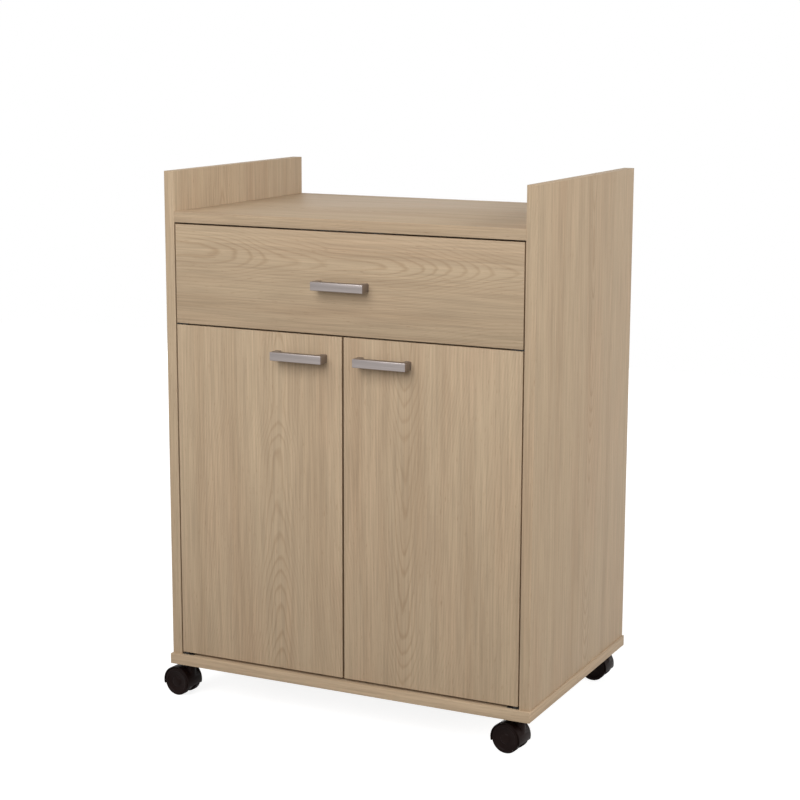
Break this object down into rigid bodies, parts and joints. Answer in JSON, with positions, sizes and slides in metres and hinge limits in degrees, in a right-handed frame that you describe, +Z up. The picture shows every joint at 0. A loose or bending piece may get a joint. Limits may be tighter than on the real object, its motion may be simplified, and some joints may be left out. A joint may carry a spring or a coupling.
{
  "type": "microwave cart",
  "caption": "Wheeled cabinet with an open top bay between raised sides, one drawer over two inset doors and four swivel casters.",
  "frame": {"origin": "on the floor, in the middle of the rectangle that the cart covers, casters and handles included", "axes": "+Z up, +X to the right as seen from the front, -Y out of the front"},
  "size_m": [0.6232, 0.418, 0.82],
  "materials": {
    "beech_laminate": "satin beech-print laminate on particle board",
    "drawer_laminate": "plain pale laminate on particle board",
    "hardboard": "beech-print hardboard",
    "satin_nickel": "satin",
    "zinc_steel": "bright zinc plate",
    "black_steel": "black phosphate and lacquer",
    "painted_steel": "white epoxy",
    "nylon": "moulded nylon",
    "black_plastic": "satin moulded nylon",
    "brown_plastic": "moulded"
  },
  "bodies": {
    "cabinet": {"base_panel": "beech_laminate", "side_panel_left": "beech_laminate", "side_panel_right": "beech_laminate", "top_shelf": "beech_laminate", "back_panel": "hardboard", "front_rail": "beech_laminate", "inner_shelf": "beech_laminate", "shelf_pin_left_front": "zinc_steel", "shelf_pin_left_back": "zinc_steel", "shelf_pin_right_front": "zinc_steel", "shelf_pin_right_back": "zinc_steel", "cabinet_runner_left": "painted_steel", "cabinet_runner_right": "painted_steel", "door_pivot_upper_left": "black_steel", "door_pivot_upper_right": "black_steel", "door_pivot_lower_left": "black_steel", "door_pivot_lower_right": "black_steel", "magnetic_catch": "brown_plastic", "caster_socket_front_left": "black_plastic", "caster_socket_front_right": "black_plastic", "caster_socket_back_left": "black_plastic", "caster_socket_back_right": "black_plastic", "caster_stem_front_left": "zinc_steel", "caster_stem_front_right": "zinc_steel", "caster_stem_back_left": "zinc_steel", "caster_stem_back_right": "zinc_steel"},
    "drawer": {"drawer_front": "beech_laminate", "drawer_side_left": "drawer_laminate", "drawer_side_right": "drawer_laminate", "drawer_back": "drawer_laminate", "drawer_bottom": "hardboard", "drawer_handle": "satin_nickel", "drawer_runner_left": "painted_steel", "drawer_runner_right": "painted_steel"},
    "door_left": {"door_left": "beech_laminate", "door_handle_left": "satin_nickel", "strike_plate_left": "zinc_steel"},
    "door_right": {"door_right": "beech_laminate", "door_handle_right": "satin_nickel", "strike_plate_right": "zinc_steel"},
    "cabinet_roller_left": {"cabinet_roller_left": "nylon"},
    "drawer_roller_left": {"drawer_roller_left": "nylon"},
    "cabinet_roller_right": {"cabinet_roller_right": "nylon"},
    "drawer_roller_right": {"drawer_roller_right": "nylon"},
    "caster_front_left": {"caster_hood_front_left": "black_plastic", "caster_axle_front_left": "zinc_steel"},
    "wheel_front_left_front": {"caster_wheel_front_left_front": "black_plastic"},
    "wheel_front_left_back": {"caster_wheel_front_left_back": "black_plastic"},
    "caster_front_right": {"caster_hood_front_right": "black_plastic", "caster_axle_front_right": "zinc_steel"},
    "wheel_front_right_front": {"caster_wheel_front_right_front": "black_plastic"},
    "wheel_front_right_back": {"caster_wheel_front_right_back": "black_plastic"},
    "caster_back_left": {"caster_hood_back_left": "black_plastic", "caster_axle_back_left": "zinc_steel"},
    "wheel_back_left_front": {"caster_wheel_back_left_front": "black_plastic"},
    "wheel_back_left_back": {"caster_wheel_back_left_back": "black_plastic"},
    "caster_back_right": {"caster_hood_back_right": "black_plastic", "caster_axle_back_right": "zinc_steel"},
    "wheel_back_right_front": {"caster_wheel_back_right_front": "black_plastic"},
    "wheel_back_right_back": {"caster_wheel_back_right_back": "black_plastic"}
  },
  "joints": [
    {"name": "drawer_slide", "type": "slide", "parent": "cabinet", "child": "drawer", "axis": [0, -1, 0], "range_m": [0, 0.27]},
    {"name": "door_left_swing", "type": "hinge", "parent": "cabinet", "child": "door_left", "pos_m": [-0.26736, -0.184, 0.33225], "axis": [0, 0, -1], "range_deg": [0, 100]},
    {"name": "door_right_swing", "type": "hinge", "parent": "cabinet", "child": "door_right", "pos_m": [0.28664, -0.184, 0.33225], "axis": [0, 0, 1], "range_deg": [0, 100]},
    {"name": "cabinet_roller_left_turn", "type": "hinge", "parent": "cabinet", "child": "cabinet_roller_left", "pos_m": [-0.26941, -0.157, 0.6158], "axis": [1, 0, 0], "range_deg": [0, 1934]},
    {"name": "drawer_roller_left_turn", "type": "hinge", "parent": "drawer", "child": "drawer_roller_left", "pos_m": [-0.26631, 0.149, 0.6125], "axis": [1, 0, 0], "range_deg": [0, 1934]},
    {"name": "cabinet_roller_right_turn", "type": "hinge", "parent": "cabinet", "child": "cabinet_roller_right", "pos_m": [0.28869, -0.157, 0.6158], "axis": [1, 0, 0], "range_deg": [0, 1934]},
    {"name": "drawer_roller_right_turn", "type": "hinge", "parent": "drawer", "child": "drawer_roller_right", "pos_m": [0.28559, 0.149, 0.6125], "axis": [1, 0, 0], "range_deg": [0, 1934]},
    {"name": "caster_front_left_swivel", "type": "hinge", "parent": "cabinet", "child": "caster_front_left", "pos_m": [-0.26986, -0.1715, 0.054], "axis": [0, 0, 1], "continuous": true},
    {"name": "wheel_front_left_front_roll", "type": "hinge", "parent": "caster_front_left", "child": "wheel_front_left_front", "pos_m": [-0.28577, -0.16983, 0.022], "axis": [0.1045, 0.9945, 0], "continuous": true},
    {"name": "wheel_front_left_back_roll", "type": "hinge", "parent": "caster_front_left", "child": "wheel_front_left_back", "pos_m": [-0.28577, -0.16983, 0.022], "axis": [0.1045, 0.9945, 0], "continuous": true},
    {"name": "caster_front_right_swivel", "type": "hinge", "parent": "cabinet", "child": "caster_front_right", "pos_m": [0.28914, -0.1715, 0.054], "axis": [0, 0, 1], "continuous": true},
    {"name": "wheel_front_right_front_roll", "type": "hinge", "parent": "caster_front_right", "child": "wheel_front_right_front", "pos_m": [0.27323, -0.16983, 0.022], "axis": [0.1045, 0.9945, 0], "continuous": true},
    {"name": "wheel_front_right_back_roll", "type": "hinge", "parent": "caster_front_right", "child": "wheel_front_right_back", "pos_m": [0.27323, -0.16983, 0.022], "axis": [0.1045, 0.9945, 0], "continuous": true},
    {"name": "caster_back_left_swivel", "type": "hinge", "parent": "cabinet", "child": "caster_back_left", "pos_m": [-0.26986, 0.1865, 0.054], "axis": [0, 0, 1], "continuous": true},
    {"name": "wheel_back_left_front_roll", "type": "hinge", "parent": "caster_back_left", "child": "wheel_back_left_front", "pos_m": [-0.28585, 0.18678, 0.022], "axis": [0.0175, 0.9998, 0], "continuous": true},
    {"name": "wheel_back_left_back_roll", "type": "hinge", "parent": "caster_back_left", "child": "wheel_back_left_back", "pos_m": [-0.28585, 0.18678, 0.022], "axis": [0.0175, 0.9998, 0], "continuous": true},
    {"name": "caster_back_right_swivel", "type": "hinge", "parent": "cabinet", "child": "caster_back_right", "pos_m": [0.28914, 0.1865, 0.054], "axis": [0, 0, 1], "continuous": true},
    {"name": "wheel_back_right_front_roll", "type": "hinge", "parent": "caster_back_right", "child": "wheel_back_right_front", "pos_m": [0.27315, 0.18678, 0.022], "axis": [0.0175, 0.9998, 0], "continuous": true},
    {"name": "wheel_back_right_back_roll", "type": "hinge", "parent": "caster_back_right", "child": "wheel_back_right_back", "pos_m": [0.27315, 0.18678, 0.022], "axis": [0.0175, 0.9998, 0], "continuous": true}
  ],
  "couplings": [
    {"joint": "cabinet_roller_left_turn", "follows": "drawer_slide", "rad_per_m": 125},
    {"joint": "drawer_roller_left_turn", "follows": "drawer_slide", "rad_per_m": 125},
    {"joint": "cabinet_roller_right_turn", "follows": "drawer_slide", "rad_per_m": 125},
    {"joint": "drawer_roller_right_turn", "follows": "drawer_slide", "rad_per_m": 125}
  ]
}
